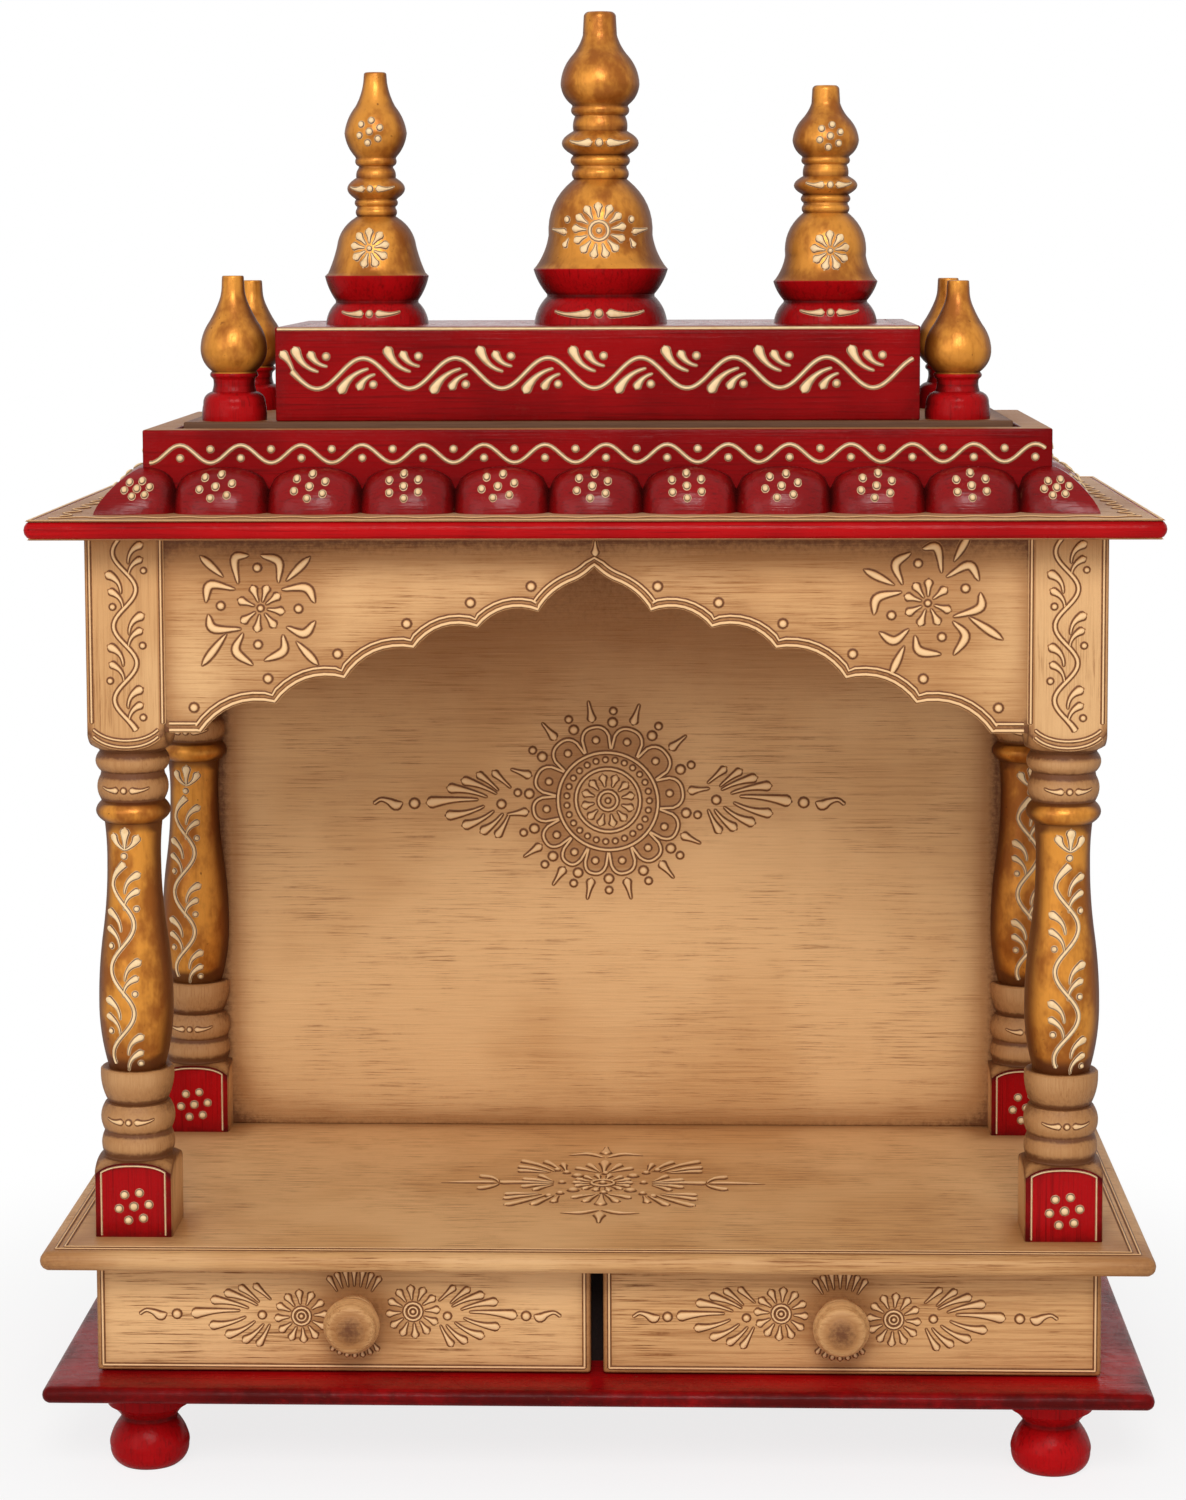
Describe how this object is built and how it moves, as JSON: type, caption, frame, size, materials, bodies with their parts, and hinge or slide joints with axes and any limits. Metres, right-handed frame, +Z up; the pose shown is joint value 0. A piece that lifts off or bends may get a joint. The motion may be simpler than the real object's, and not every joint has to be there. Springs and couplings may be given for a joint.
{
  "type": "wooden pooja mandir",
  "caption": "Painted wooden home temple: turned pillars and scalloped arches round an open alcove, drawers in the base, and a stepped roof with turned finials.",
  "frame": {"origin": "centre of the footprint on the floor", "axes": "+X to the right seen from the front, front faces -Y, +Z up"},
  "size_m": [0.46, 0.256, 0.612],
  "materials": {
    "cream_paint": "antiqued cream paint, satin",
    "red_lacquer": "glossy red lacquer",
    "gold_paint": "antiqued gold paint",
    "bare_wood": "brown wood, matt"
  },
  "bodies": {
    "cabinet": {"case_side_left": "cream_paint", "case_side_right": "cream_paint", "case_back": "cream_paint", "shelf_board": "cream_paint", "pillar_front_left": "cream_paint", "pillar_front_right": "cream_paint", "pillar_rear_left": "cream_paint", "pillar_rear_right": "cream_paint", "back_panel": "cream_paint", "front_arch": "cream_paint", "side_arch_left": "cream_paint", "side_arch_right": "cream_paint", "foot_front_left": "red_lacquer", "foot_front_right": "red_lacquer", "foot_rear_left": "red_lacquer", "foot_rear_right": "red_lacquer", "base_board": "red_lacquer", "roof_board": "red_lacquer", "lotus_front": "red_lacquer", "lotus_rear": "red_lacquer", "lotus_ends": "red_lacquer", "parapet_front": "red_lacquer", "parapet_rear": "red_lacquer", "parapet_ends": "red_lacquer", "plinth_front": "red_lacquer", "plinth_rear": "red_lacquer", "plinth_ends": "red_lacquer", "plinth_top": "red_lacquer", "case_divider": "bare_wood", "crown_bearers": "bare_wood", "crown_board": "bare_wood", "finial_centre": "gold_paint", "finial_left": "gold_paint", "finial_right": "gold_paint", "corner_finial_front_left": "gold_paint", "corner_finial_front_right": "gold_paint", "corner_finial_rear_left": "gold_paint", "corner_finial_rear_right": "gold_paint"},
    "drawer_left": {"drawer_left_front": "cream_paint", "drawer_left_sides": "bare_wood", "drawer_left_back": "bare_wood", "drawer_left_bottom": "bare_wood", "drawer_left_knob": "cream_paint"},
    "drawer_right": {"drawer_right_front": "cream_paint", "drawer_right_sides": "bare_wood", "drawer_right_back": "bare_wood", "drawer_right_bottom": "bare_wood", "drawer_right_knob": "cream_paint"}
  },
  "joints": [
    {"name": "drawer_left_slide", "type": "slide", "parent": "cabinet", "child": "drawer_left", "axis": [0, -1, 0], "range_m": [0, 0.14]},
    {"name": "drawer_right_slide", "type": "slide", "parent": "cabinet", "child": "drawer_right", "axis": [0, -1, 0], "range_m": [0, 0.14]}
  ]
}
